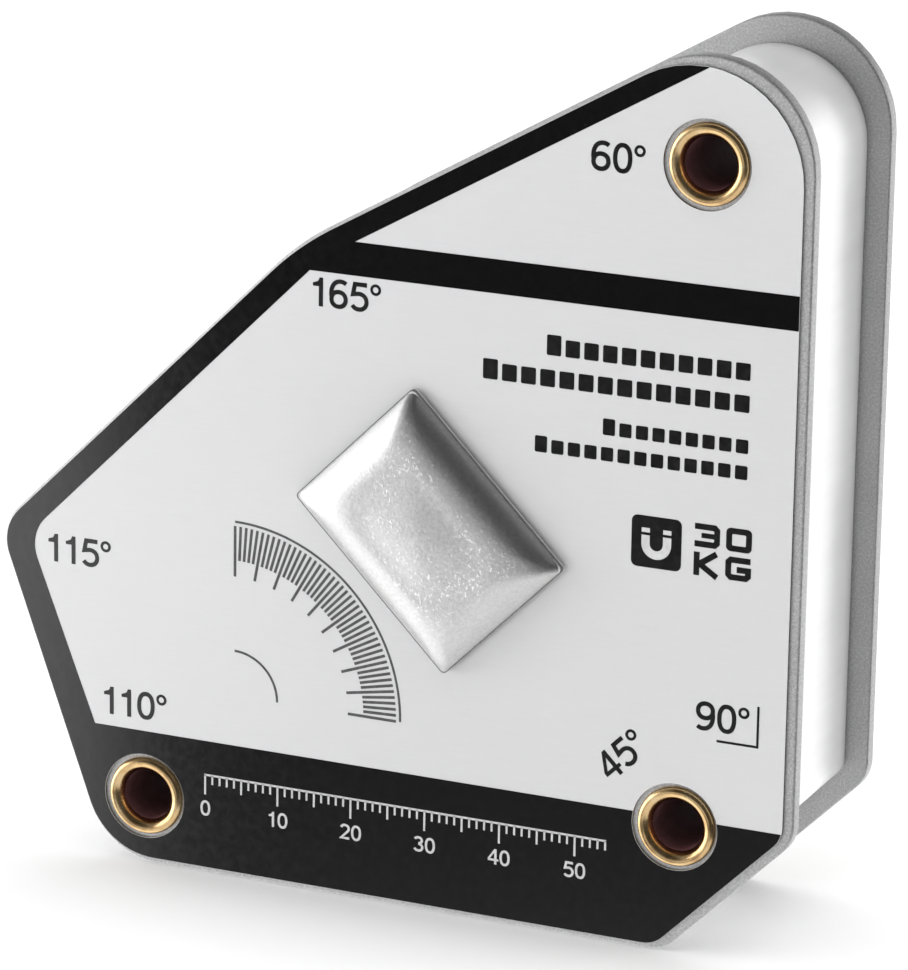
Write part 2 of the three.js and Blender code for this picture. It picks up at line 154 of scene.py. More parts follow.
class Nodes:
    """A small builder for one Principled material."""

    def __init__(self, name, color, roughness, metallic=0.0):
        self.material = bpy.data.materials.new(name)
        self.material.use_nodes = True
        self.tree = self.material.node_tree
        self.shader = self.tree.nodes["Principled BSDF"]
        self.shader.inputs["Base Color"].default_value = (*color, 1)
        self.shader.inputs["Roughness"].default_value = roughness
        self.shader.inputs["Metallic"].default_value = metallic
        self.coordinates = self.tree.nodes.new("ShaderNodeTexCoord").outputs["Object"]

    def link(self, output, target):
        self.tree.links.new(output, target)

    def stretched(self, scale):
        """Object coordinates, stretched by a factor along each axis."""
        mapping = self.tree.nodes.new("ShaderNodeMapping")
        mapping.inputs["Scale"].default_value = scale
        self.link(self.coordinates, mapping.inputs["Vector"])
        return mapping.outputs["Vector"]

    def noise(self, scale, detail=3.0, roughness=0.6, stretch=(1, 1, 1), distortion=0.0):
        node = self.tree.nodes.new("ShaderNodeTexNoise")
        node.inputs["Scale"].default_value = scale
        node.inputs["Detail"].default_value = detail
        node.inputs["Roughness"].default_value = roughness
        node.inputs["Distortion"].default_value = distortion
        self.link(self.stretched(stretch), node.inputs["Vector"])
        return node.outputs["Fac"]

    def cells(self, scale):
        node = self.tree.nodes.new("ShaderNodeTexVoronoi")
        node.inputs["Scale"].default_value = scale
        self.link(self.coordinates, node.inputs["Vector"])
        return node.outputs["Distance"]

    def ramp(self, value, stops):
        """Maps a value through (position, colour or grey) stops."""
        node = self.tree.nodes.new("ShaderNodeValToRGB")
        elements = node.color_ramp.elements
        while len(elements) < len(stops):
            elements.new(0.5)
        for element, (position, shade) in zip(elements, stops):
            element.position = position
            element.color = (*shade, 1) if isinstance(shade, tuple) else (shade, shade, shade, 1)
        self.link(value, node.inputs["Fac"])
        return node.outputs["Color"]

    def span(self, value, low, high, from_low=0.25, from_high=0.75):
        """Maps the used part of a value to a range of numbers."""
        node = self.tree.nodes.new("ShaderNodeMapRange")
        node.inputs["From Min"].default_value = from_low
        node.inputs["From Max"].default_value = from_high
        node.inputs["To Min"].default_value = low
        node.inputs["To Max"].default_value = high
        self.link(value, node.inputs["Value"])
        return node.outputs["Result"]

    def mix(self, factor, first, second):
        node = self.tree.nodes.new("ShaderNodeMix")
        node.data_type = "RGBA"
        for value, socket in ((factor, node.inputs[0]), (first, node.inputs[6]), (second, node.inputs[7])):
            if isinstance(value, bpy.types.NodeSocket):
                self.link(value, socket)
            elif socket.type == "RGBA":
                socket.default_value = (*value, 1)
            else:
                socket.default_value = value
        return node.outputs[2]

    def color(self, output):
        self.link(output, self.shader.inputs["Base Color"])

    def roughness(self, output):
        self.link(output, self.shader.inputs["Roughness"])

    def bump(self, *layers):
        """Layers of (height, depth in metres)."""
        normal = None
        for height, distance in layers:
            node = self.tree.nodes.new("ShaderNodeBump")
            node.inputs["Strength"].default_value = 1.0
            node.inputs["Distance"].default_value = distance
            self.link(height, node.inputs["Height"])
            if normal is not None:
                self.link(normal, node.inputs["Normal"])
            normal = node.outputs["Normal"]
        self.link(normal, self.shader.inputs["Normal"])


def label_foil():
    m = Nodes("label_foil", (0.72, 0.72, 0.73), 0.3, 0.22)
    brushed = m.noise(260, 4, 0.65, stretch=(1, 1, 14))
    broad = m.noise(18, 2, 0.5)
    tone = m.mix(0.5, m.ramp(brushed, [(0.3, (0.7, 0.7, 0.71)), (0.7, (0.735, 0.735, 0.74))]),
                 m.ramp(broad, [(0.3, (0.705, 0.705, 0.715)), (0.7, (0.725, 0.725, 0.725))]))
    m.color(tone)
    m.roughness(m.span(brushed, 0.18, 0.25))
    m.bump((brushed, 0.0000025))
    return m.material


def label_side():
    """The cut edge of the label sheet."""
    m = Nodes("label_side", (0.08, 0.08, 0.08), 0.6)
    grain = m.noise(2500, 2, 0.6)
    m.color(m.ramp(grain, [(0.3, 0.05), (0.7, 0.13)]))
    m.bump((grain, 0.00001))
    return m.material


def black_ink():
    m = Nodes("black_ink", (0.0015, 0.0015, 0.0015), 0.08)
    m.shader.inputs["Specular IOR Level"].default_value = 1.0
    mottle = m.noise(900, 3, 0.6)
    dust = m.cells(520)
    specks = m.ramp(dust, [(0.03, 1.0), (0.055, 0.0)])
    m.color(m.mix(specks, m.ramp(mottle, [(0.3, 0.001), (0.7, 0.002)]), (0.02, 0.02, 0.02)))
    m.roughness(m.span(mottle, 0.06, 0.1))
    m.bump((mottle, 0.000001))
    return m.material


def dark_ink():
    m = Nodes("dark_ink", (0.006, 0.006, 0.006), 0.12)
    m.shader.inputs["Specular IOR Level"].default_value = 1.0
    mottle = m.noise(1500, 3, 0.6)
    m.color(m.ramp(mottle, [(0.3, 0.004), (0.7, 0.009)]))
    m.roughness(m.span(mottle, 0.1, 0.16))
    m.bump((mottle, 0.000001))
    return m.material


def hatch_ink():
    m = Nodes("hatch_ink", (0.07, 0.07, 0.07), 0.5)
    mottle = m.noise(1500, 3, 0.6)
    m.color(m.ramp(mottle, [(0.3, 0.05), (0.7, 0.09)]))
    return m.material


def pale_ink():
    m = Nodes("pale_ink", (0.6, 0.6, 0.6), 0.5)
    mottle = m.noise(1500, 3, 0.6)
    m.color(m.ramp(mottle, [(0.3, 0.5), (0.7, 0.62)]))
    return m.material


def sheet_steel():
    m = Nodes("sheet_steel", (0.52, 0.52, 0.525), 0.5, 0.85)
    grain = m.noise(3800, 3, 0.75)
    stain = m.noise(70, 4, 0.6)
    tone = m.ramp(grain, [
        (0.32, (0.33, 0.33, 0.335)),
        (0.5, (0.52, 0.52, 0.525)),
        (0.66, (0.74, 0.74, 0.74)),
    ])
    m.color(m.mix(0.3, tone, m.ramp(stain, [(0.3, 0.45), (0.7, 0.62)])))
    m.roughness(m.span(grain, 0.42, 0.6))
    m.bump((grain, 0.00004), (stain, 0.00004))
    return m.material


def bright_aluminium():
    m = Nodes("bright_aluminium", (0.88, 0.88, 0.885), 0.32, 0.5)
    streak = m.noise(220, 4, 0.65, stretch=(1, 0.08, 1))
    broad = m.noise(40, 3, 0.5)
    fine = m.noise(2500, 2, 0.6)
    tone = m.ramp(streak, [(0.3, 0.82), (0.7, 0.92)])
    m.color(m.mix(0.5, tone, m.ramp(broad, [(0.3, 0.84), (0.7, 0.92)])))
    m.roughness(m.span(broad, 0.26, 0.36))
    m.bump((streak, 0.000006), (fine, 0.000003))
    return m.material


def brass(name="bright_brass", shade=1.0, roughness=(0.14, 0.32)):
    m = Nodes(name, (0.8 * shade, 0.55 * shade, 0.26 * shade), 0.22, 1.0)
    tone_noise = m.noise(420, 4, 0.65)
    scratch = m.noise(2200, 2, 0.6)
    m.color(m.ramp(tone_noise, [
        (0.3, (0.60 * shade, 0.38 * shade, 0.19 * shade)),
        (0.48, (0.80 * shade, 0.55 * shade, 0.27 * shade)),
        (0.7, (0.90 * shade, 0.68 * shade, 0.39 * shade)),
    ]))
    m.roughness(m.span(tone_noise, *roughness))
    m.bump((tone_noise, 0.00001), (scratch, 0.000004))
    return m.material


def dark_bore():
    """Painted shade on the inner wall of a rivet: a dark brown standing in for the shadow deep in the bore.
    """
    m = Nodes("dark_bore", (0.07, 0.027, 0.03), 0.7)
    tone_noise = m.noise(500, 4, 0.65)
    m.color(m.ramp(tone_noise, [(0.3, (0.1, 0.04, 0.043)), (0.7, (0.17, 0.07, 0.075))]))
    m.bump((tone_noise, 0.00003))
    return m.material


def satin_casting():
    """Satin metal with painted glints: the colour turns white in small spots within patches, on the faces
    that look straight ahead only.
    """
    m = Nodes("satin_casting", (0.76, 0.76, 0.765), 0.4, 1.0)
    grain = m.noise(2400, 3, 0.75)
    broad = m.noise(160, 3, 0.6)
    glint_spots = m.ramp(m.noise(2400, 2, 0.5, distortion=0.5), [(0.6, 0.0), (0.68, 1.0)])
    patch = m.ramp(m.noise(150, 2, 0.5), [(0.46, 0.0), (0.58, 1.0)])
    split = m.tree.nodes.new("ShaderNodeSeparateXYZ")
    m.link(m.tree.nodes.new("ShaderNodeTexCoord").outputs["Normal"], split.inputs[0])
    on_top = m.span(split.outputs["Y"], 1.0, 0.0, GLINT_FULL, GLINT_FADE)
    painted_glints = m.mix(on_top, (0.0, 0.0, 0.0), m.mix(patch, (0.0, 0.0, 0.0), glint_spots))
    tone = m.mix(0.5, m.ramp(grain, [(0.33, 0.6), (0.67, 0.88)]), m.ramp(broad, [(0.3, 0.7), (0.7, 0.82)]))
    # painted highlight: the base colour goes to white at the glint spots
    m.color(m.mix(painted_glints, tone, (1.0, 1.0, 1.0)))
    m.roughness(m.span(grain, 0.33, 0.46))
    m.bump((grain, 0.00003), (painted_glints, 0.000018), (broad, 0.00005))
    return m.material


def casting_ledge():
    """Painted shade: a dark, dull line round the foot of the knob, standing in for the shadow in the gap
    under its rim.
    """
    m = Nodes("casting_ledge", (0.14, 0.14, 0.14), 0.6, 0.2)
    grain = m.noise(2600, 3, 0.7)
    m.color(m.ramp(grain, [(0.3, 0.08), (0.7, 0.2)]))
    m.bump((grain, 0.00001))
    return m.material


def machined(name, color, roughness, metallic=1.0, depth=0.00001):
    """A plain turned or milled finish for the pieces inside."""
    m = Nodes(name, color, roughness, metallic)
    lines = m.noise(600, 3, 0.6, stretch=(1, 6, 1))
    dark = tuple(0.8 * c for c in color)
    light = tuple(min(1, 1.12 * c) for c in color)
    m.color(m.ramp(lines, [(0.3, dark), (0.7, light)]))
    m.roughness(m.span(lines, 0.8 * roughness, min(1, 1.2 * roughness)))
    m.bump((lines, depth))
    return m.material


def floor_paint():
    """Pale paint that glows a little, which keeps the shadow on the floor light."""
    m = Nodes("floor_paint", (0.93, 0.93, 0.93), 0.6)
    broad = m.noise(3, 2, 0.5)
    m.color(m.ramp(broad, [(0.3, 0.92), (0.7, 0.94)]))
    m.shader.inputs["Emission Color"].default_value = (1.0, 1.0, 1.0, 1.0)
    m.shader.inputs["Emission Strength"].default_value = FLOOR_GLOW
    return m.material


# ---------------------------------------------------------------- outlines


def plate_corners():
    """The sharp corners of the cheek plates, from the bottom left anticlockwise seen from the front."""
    def along(start, angle, length):
        return start + Vector((cos(radians(angle)), sin(radians(angle)))) * length
    bottom_left = Vector((0, 0))
    left = along(bottom_left, LEFT_ANGLE, LEFT_EDGE)
    shoulder = along(left, SHOULDER_ANGLE, SHOULDER_EDGE)
    top = Vector((BASE_WIDTH, shoulder.y + (BASE_WIDTH - shoulder.x) * tan(radians(TOP_ANGLE))))
    chamfer_foot, chamfer_head = Vector((BASE_WIDTH - CHAMFER, 0)), Vector((BASE_WIDTH, CHAMFER))
    return [bottom_left, chamfer_foot, chamfer_head, top, shoulder, left]


def cross(a, b):
    return a.x * b.y - a.y * b.x


def inset_corners(margins):
    """The corners after each edge moves inward by its own margin."""
    corners = plate_corners()
    lines = []
    for i, corner in enumerate(corners):
        direction = (corners[(i + 1) % len(corners)] - corner).normalized()
        inward = Vector((-direction.y, direction.x))
        lines.append((corner + inward * margins[i], direction))
    moved = []
    for (before, before_way), (point, way) in zip(lines[-1:] + lines[:-1], lines):
        reach = cross(point - before, way) / cross(before_way, way)
        moved.append(before + before_way * reach)
    return moved


def round_corners(corners, radii, steps):
    """A closed outline of points, with an arc at each corner that has a radius."""
    points = []
    for i, (corner, radius) in enumerate(zip(corners, radii)):
        into = (corner - corners[i - 1]).normalized()
        out = (corners[(i + 1) % len(corners)] - corner).normalized()
        if radius <= 0:
            points.append(tuple(corner))
            continue
        turn = atan2(cross(into, out), into.dot(out))
        centre = corner - into * radius * tan(abs(turn) / 2)
        side = 1 if turn > 0 else -1
        centre += Vector((-into.y, into.x)) * radius * side
        start = atan2(into.y, into.x) - side * pi / 2
        for k in range(steps + 1):
            angle = start + turn * k / steps
            points.append((centre.x + radius * cos(angle), centre.y + radius * sin(angle)))
    return points


SMALLEST_RADIUS = 0.05


def outline(margins, radii, steps=14):
    """A rim: gives the outline set in by a further distance."""
    def rim(inset):
        smaller = [max(SMALLEST_RADIUS, radius - inset) for radius in radii]
        return round_corners(inset_corners([m + inset for m in margins]), smaller, steps)
    return rim


def hole(x, z, radius):
    """The rim of a round hole, which grows as it is set back."""
    def rim(inset):
        return circle(x, z, radius + inset)
    return rim


def circle(x, z, radius, steps=64):
    turns = (2 * pi * k / steps for k in range(steps))
    return [(x + radius * cos(a), z + radius * sin(a)) for a in turns]


# ---------------------------------------------------------------- meshes, built in sketch millimetres


def bridge(bm, near, far):
    """Quads between two closed loops of the same length."""
    for i in range(len(near)):
        j = (i + 1) % len(near)
        bm.faces.new((near[i], near[j], far[j], far[i]))


def cap(bm, loops):
    """Flat faces across a loop, with the other loops as holes."""
    flat = [v for loop in loops for v in loop]
    for corners in tessellate_polygon([[v.co for v in loop] for loop in loops]):
        bm.faces.new([flat[c] for c in corners])


EDGE_STEPS = 4
FLAT_MARGIN = 0.12


def rounded_slab(rims, front, back, edge):
    """A flat plate with rounded edges: the first rim is its outline, and the others are its holes."""
    bm = bmesh.new()
    profile = [(edge + FLAT_MARGIN, 0.0)]
    for k in range(EDGE_STEPS + 1):
        angle = pi / 2 * k / EDGE_STEPS
        profile.append((edge * (1 - sin(angle)), edge * (1 - cos(angle))))
    stations = [(inset, front + depth) for inset, depth in profile]
    stations += [(inset, back - depth) for inset, depth in reversed(profile)]
    fronts, backs = [], []
    for rim in rims:
        loops = [[bm.verts.new((x, y, z)) for x, z in rim(inset)] for inset, y in stations]
        for near, far in zip(loops, loops[1:]):
            bridge(bm, near, far)
        fronts.append(loops[0])
        backs.append(loops[-1])
    cap(bm, fronts)
    cap(bm, backs)
    return bm


def flat_slab(loops, front, back):
    """A thin sharp-edged plate between two depths: a closed outline and its holes."""
    bm = bmesh.new()
    fronts = [[bm.verts.new((x, front, z)) for x, z in loop] for loop in loops]
    backs = [[bm.verts.new((x, back, z)) for x, z in loop] for loop in loops]
    for near, far in zip(fronts, backs):
        bridge(bm, near, far)
    cap(bm, fronts)
    cap(bm, backs)
    return bm


def turned(profile, x, z, steps=64):
    """Turns a closed profile of (radius, depth) points about a front-to-back axis."""
    bm = bmesh.new()
    loops = [[bm.verts.new((px, y, pz)) for px, pz in circle(x, z, r, steps)] for r, y in profile]
    for near, far in zip(loops, loops[1:] + loops[:1]):
        bridge(bm, near, far)
    return bm


def shaded(bm, sharp=35):
    """Faces out, smooth, with an edge kept sharp where it turns by more than the given angle."""
    bmesh.ops.recalc_face_normals(bm, faces=bm.faces)
    for face in bm.faces:
        face.smooth = True
    for edge in bm.edges:
        edge.smooth = len(edge.link_faces) == 2 and degrees(edge.calc_face_angle(0)) < sharp


def piece(name, bm, material, body, replaced=(), sharp=35):
    """Puts a mesh from sketch millimetres into the frame as a piece of the object."""
    shaded(bm, sharp)
    bm.transform(Matrix.Translation(ORIGIN) @ Matrix.Scale(MM, 4))
    mesh = bpy.data.meshes.new(name)
    bm.to_mesh(mesh)
    bm.free()
    mesh.materials.append(material)
    obj = bpy.data.objects.new(name, mesh)
    bpy.context.scene.collection.objects.link(obj)
    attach(obj, body)
    if replaced:
        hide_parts(*replaced)
    return obj


def merged(*meshes):
    """Several meshes as one."""
    whole = bmesh.new()
    for bm in meshes:
        part = bpy.data.meshes.new("part")
        bm.to_mesh(part)
        bm.free()
        whole.from_mesh(part)
        bpy.data.meshes.remove(part)
    return whole


def cut_away(base, tool):
    """What is left of base when tool is cut away."""
    objects = []
    for label, bm in (("base", base), ("tool", tool)):
        bmesh.ops.recalc_face_normals(bm, faces=bm.faces)
        mesh = bpy.data.meshes.new(label)
        bm.to_mesh(mesh)
        bm.free()
        obj = bpy.data.objects.new(label, mesh)
        bpy.context.scene.collection.objects.link(obj)
        objects.append(obj)
    modifier = objects[0].modifiers.new("cut", "BOOLEAN")
    modifier.object = objects[1]
    modifier.operation = "DIFFERENCE"
    modifier.solver = "EXACT"
    result = bmesh.new()
    result.from_object(objects[0], bpy.context.evaluated_depsgraph_get())
    for obj in objects:
        mesh = obj.data
        bpy.data.objects.remove(obj)
        bpy.data.meshes.remove(mesh)
    return result


# ---------------------------------------------------------------- plates and body


def rivet_holes(radius, shift=(0, 0)):
    return [hole(at.x + shift[0], at.z + shift[1], radius) for at in RIVETS.values()]


def build_plates(steel):
    rims = [outline([0] * 6, PLATE_RADII), *rivet_holes(RIVET_HOLE), hole(AXIS.x, AXIS.z, BUSH_HOLE)]
    piece("front_cheek_plate", rounded_slab(rims, 0, PLATE, PLATE_EDGE), steel, "housing",
          ["front_plate"])
    piece("back_cheek_plate", rounded_slab(rims, BACK_FACE, DEPTH, PLATE_EDGE), steel, "housing",
          ["back_plate"])


def build_body(aluminium):
    rims = [outline([BODY_INSET] * 6, BODY_RADII, 20), *rivet_holes(RIVET_HOLE),
            hole(AXIS.x, AXIS.z, POCKET)]
    piece("magnet_body", rounded_slab(rims, PLATE, BACK_FACE, BODY_EDGE), aluminium, "housing",
          ["body_frame"])


# ---------------------------------------------------------------- label and its print


def build_label(foil, side):
    rims = [outline(LABEL_MARGINS, LABEL_RADII), *rivet_holes(LABEL_HOLE, LABEL_HOLE_SHIFT),
            hole(AXIS.x, AXIS.z, BUSH_HOLE)]
    label = piece("label_sheet", rounded_slab(rims, LABEL_FACE, 0, LABEL_EDGE), foil, "housing",
                  ["front_label"])
    label.data.materials.append(side)
    for face in label.data.polygons:
        if abs(face.normal.y) < 0.5:
            face.material_index = 1


INK_FRONT = LABEL_FACE - INK
CUT_PAST = 1
LAYER = 0.002
FIGURE_STEP, NARROW_STEP = 0.76, 0.68
FAR = 200.0


def field_loops():
    """The two unprinted fields of the label, open to its right edge: above and below the stripe."""
    shoulder = inset_corners((0, 0, 0, UPPER_BORDER, SHOULDER_BORDER, 0))[4]
    slope = tan(radians(TOP_ANGLE))
    tip_x = shoulder.x + (STRIPE_HIGH - shoulder.y) / slope
    upper = [(tip_x, STRIPE_HIGH), (FAR, STRIPE_HIGH), (FAR, STRIPE_HIGH + (FAR - tip_x) * slope)]
    left_way = Vector((cos(radians(FIELD_LEFT_ANGLE)), sin(radians(FIELD_LEFT_ANGLE))))
    left_foot = Vector((FIELD_LEFT_FOOT, BAND_TOP))
    shoulder_way = Vector((1, 1)).normalized()
    reach = cross(shoulder - left_foot, shoulder_way) / cross(left_way, shoulder_way)
    left_corner = left_foot + left_way * reach
    head = Vector((shoulder.x + STRIPE_LOW - shoulder.y, STRIPE_LOW))
    lower = [left_foot, Vector((FAR, BAND_TOP)), Vector((FAR, STRIPE_LOW)), head, left_corner]
    return upper, round_corners(lower, [0, 0, 0, 0, FIELD_CORNER], 10)


def build_black_print(ink):
    """Border, stripe and bottom band: the whole label without its two fields and its rivet holes."""
    margins = [m + LABEL_EDGE for m in LABEL_MARGINS]
    black = flat_slab([outline(margins, [r - LABEL_EDGE for r in LABEL_RADII])(0)], INK_FRONT, LABEL_FACE)
    for loop in field_loops():
        black = cut_away(black, flat_slab([loop], INK_FRONT - CUT_PAST, LABEL_FACE + CUT_PAST))
    for rim in rivet_holes(LABEL_HOLE + LABEL_EDGE, LABEL_HOLE_SHIFT):
        black = cut_away(black, flat_slab([rim(0)], INK_FRONT - CUT_PAST, LABEL_FACE + CUT_PAST))
    piece("black_print", black, ink, "housing", sharp=20)


def bar(x0, z0, x1, z1, width, front=INK_FRONT, back=LABEL_FACE):
    """A straight printed line."""
    way = Vector((x1 - x0, z1 - z0)).normalized() * width / 2
    side = Vector((-way.y, way.x))
    loop = [(x0 + side.x, z0 + side.y), (x0 - side.x, z0 - side.y), (x1 - side.x, z1 - side.y),
            (x1 + side.x, z1 + side.y)]
    return flat_slab([loop], front, back)


def rectangle(x, z, width, height):
    """The corners of an upright rectangle, from its lower left one."""
    return path((x, z), (x + width, z), (x + width, z + height), (x, z + height))


def block(x, z, width, height, corner=0.2, front=INK_FRONT, back=LABEL_FACE):
    """A printed block with rounded corners, from its lower left corner."""
    return flat_slab([round_corners(rectangle(x, z, width, height), [corner] * 4, 4)], front, back)


def ribbon(points, width):
    """The outline of a line of even width along open points."""
    left, right = [], []
    for i, point in enumerate(points):
        before = (point - points[i - 1]).normalized() if i > 0 else None
        after = (points[i + 1] - point).normalized() if i < len(points) - 1 else None
        before, after = before or after, after or before
        way = (before + after).normalized()
        side = Vector((-way.y, way.x)) * width / 2 / max(0.5, way.dot(after))
        left.append(point + side)
        right.append(point - side)
    return left + right[::-1]


def oval(x, z, half_width, half_height, start, end, steps, power):
    """Points round part of a squarish oval."""
    points = []
    for k in range(steps + 1):
        angle = radians(start + (end - start) * k / steps)
        c, s = cos(angle), sin(angle)
        points.append(Vector((x + half_width * abs(c) ** (2 / power) * (1 if c > 0 else -1),
                              z + half_height * abs(s) ** (2 / power) * (1 if s > 0 else -1))))
    return points


def path(*points):
    return [Vector(point) for point in points]


def ring_loops(x, z, half_width, half_height, pen, power=2.3):
    """The outer and inner outlines of an oval line."""
    outer = oval(x, z, half_width, half_height, 0, 360, 32, power)[:-1]
    inner = oval(x, z, half_width - pen, half_height - pen, 0, 360, 32, power)[:-1]
    return [outer, inner]


PEN = 0.155


def figure_shapes(figure):
    """A figure as flat shapes, each an outline with its holes, in a box one unit high and 0.7 wide."""
    half, mid = PEN / 2, 0.35
    if figure == "0":
        return [ring_loops(mid, 0.5, 0.34, 0.51, PEN)]
    if figure == "1":
        left, right = 0.3, 0.3 + PEN
        return [[path((left, 0), (right, 0), (right, 1), (0.33, 1), (0.27, 0.87), (0.08, 0.8), (0.08, 0.69),
                      (left, 0.69))]]
    if figure == "4":
        left, right = 0.42, 0.42 + PEN
        return [[path((left, 0), (right, 0), (right, 0.22), (0.7, 0.22), (0.7, 0.35), (right, 0.35),
                      (right, 1), (0.43, 1), (0.0, 0.38), (0.0, 0.22), (left, 0.22)),
                 path((left, 0.36), (left, 0.76), (0.14, 0.36))]]
    if figure == "5":
        bowl = oval(0.34, 0.33, 0.28, 0.27, 128, -150, 22, 2.1)
        return [[ribbon(path((0.63, 1 - half), (0.19, 1 - half), (0.12, 0.57)) + bowl[2:], PEN)]]
    if figure == "2":
        hook = oval(0.35, 0.7, 0.26, 0.23, 165, -35, 14, 2.1)
        return [[ribbon(hook + path((0.1, half), (0.65, half)), PEN)]]
    if figure == "3":
        top = oval(0.33, 0.74, 0.24, 0.19, 160, -90, 18, 2.1)
        low = oval(0.33, 0.29, 0.27, 0.22, 90, -160, 18, 2.1)
        return [[ribbon(top, PEN)], [ribbon(low, PEN)]]
    stem = oval(0.42, 0.5, 0.34, 0.44, 55, 190, 20, 2.2)
    shapes = [ring_loops(mid, 0.32, 0.34, 0.33, PEN, 2.15), [ribbon(stem, PEN)]]
    if figure == "9":
        shapes = [[[Vector((0.7 - p.x, 1 - p.y)) for p in loop] for loop in shape] for shape in shapes]
    return shapes


def row_of_figures(text):
    """The shapes of a row of figures and how far it reaches."""
    shapes, reach = [], 0.0
    for figure in text:
        along = Vector((reach, 0))
        shapes += [[[p + along for p in loop] for loop in shape] for shape in figure_shapes(figure)]
        reach += NARROW_STEP if figure == "1" else FIGURE_STEP
    return shapes, reach


def drawn(shapes, x, z, height, turn=0, front=INK_FRONT):
    """Flat shapes in units of the height, printed from their lower left corner."""
    meshes = []
    spin = Matrix.Rotation(radians(turn), 2)
    for layer, shape in enumerate(shapes):
        loops = [[spin @ point * height + Vector((x, z)) for point in loop] for loop in shape]
        meshes.append(flat_slab(loops, front + layer * LAYER, front + INK))
    return merged(*meshes)


ANGLE_HEIGHT = 3.6
# each figure: text, lower left corner, turn in degrees
ANGLE_FIGURES = (
    ("60", 64.1, 96.0, 0),
    ("165", 28.0, 75.25, 0),
    ("115", -8.2, 37.95, 0),
    ("110", -0.45, 19.0, 0),
    ("90", 79.2, 29.1, 0),
    ("45", 68.65, 20.65, 45),
)
# the degree ring, in units of the figures' height: gap to its middle, level, radius, line
DEGREE_RING = (0.19, 0.8, 0.2, 0.1)
SQUARE_MARK_LINE = 0.3
SQUARE_MARK_CORNER = (87.18, 27.98)
SQUARE_MARK_REACH = (5.2, 5.1)


def angle_figure(text, x, z, turn):
    """Figures and a small degree ring in a row."""
    shapes, reach = row_of_figures(text)
    gap, level, radius, line = DEGREE_RING
    shapes.append(ring_loops(reach + gap, level, radius, radius, line, 2.0))
    ordered = sorted(range(len(shapes)), key=lambda i: i % 2)
    return drawn([shapes[i] for i in ordered], x, z, ANGLE_HEIGHT, turn)


def build_angle_figures(ink):
    """The working angle beside each corner, and the square mark by the right angle."""
    meshes = [angle_figure(*figure) for figure in ANGLE_FIGURES]
    half, x, z = SQUARE_MARK_LINE / 2, *SQUARE_MARK_CORNER
    left, top = x - SQUARE_MARK_REACH[0], z + SQUARE_MARK_REACH[1]
    square_mark = path((left, z - half), (x + half, z - half), (x + half, top), (x - half, top),
                       (x - half, z + half), (left, z + half))
    meshes.append(flat_slab([square_mark], INK_FRONT, LABEL_FACE))
    piece("angle_figures", merged(*meshes), ink, "housing")


CAPTION_RIGHT, CAPTION_GAP, FIRST_BLOCK_TALLER = 85.4, 0.55, 1.2
# each row: bottom, height, width, number of blocks
CAPTION_ROWS = ((72.9, 2.1, 26.4, 11), (69.0, 2.1, 34.6, 14), (64.0, 1.7, 19.0, 9), (60.8, 1.7, 27.7, 13))


def build_caption_blocks(ink):
    """Four right-aligned rows of plain blocks where a caption would be."""
    meshes = []
    for low, height, width, count in CAPTION_ROWS:
        step = width / count
        for k in range(count):
            tall = height * (FIRST_BLOCK_TALLER if k == 0 else 1.0)
            meshes.append(block(CAPTION_RIGHT - width + k * step, low, step - CAPTION_GAP, tall))
    piece("caption_blocks", merged(*meshes), ink, "housing")


def rating_meshes():
    """The figures 30 and the unit kg in wide plain strokes with soft corners."""
    pen, wide, tall, gap = 0.74, 3.25, 2.9, 0.78
    left, upper, lower = 78.4, 51.85, 48.3
    right, high, low, mid = wide - pen / 2, tall - pen / 2, pen / 2, tall / 2
    soft, notch, tip = 0.3, 0.2, 0.05
    bar_start, bar_pen = 0.9, pen * 0.85
    outer_corner, inner_corner, steps = 0.6, 0.15, 5
    three = [ribbon(path((tip, high), (right - soft, high), (right, high - soft), (right, mid + notch),
                         (right - notch, mid), (right, mid - notch), (right, low + soft),
                         (right - soft, low), (tip, low)), pen)]
    three_bar = [ribbon(path((bar_start, mid), (right - notch, mid)), bar_pen)]
    corners = rectangle(0, 0, wide, tall)
    inset = path((pen, pen), (wide - pen, pen), (wide - pen, tall - pen), (pen, tall - pen))
    zero = [path(*round_corners(corners, [outer_corner] * 4, steps)),
            path(*round_corners(inset, [inner_corner] * 4, steps))]
    stem = [ribbon(path((pen / 2, 0), (pen / 2, tall)), pen)]
    arms = [ribbon(path((right, tall), (pen, mid), (right + 0.1, 0)), pen)]
    gee = [ribbon(path((wide - 0.1, high), (low + soft, high), (low, high - soft), (low, low + soft),
                       (low + soft, low), (right - soft, low), (right, low + soft), (right, mid - 0.1),
                       (right * 0.5, mid - 0.1)), pen)]
    rows = [([three, three_bar], left, upper), ([zero], left + wide + gap, upper),
            ([arms, stem], left, lower), ([gee], left + wide + gap, lower)]
    return [drawn(shapes, x, z, 1.0) for shapes, x, z in rows]


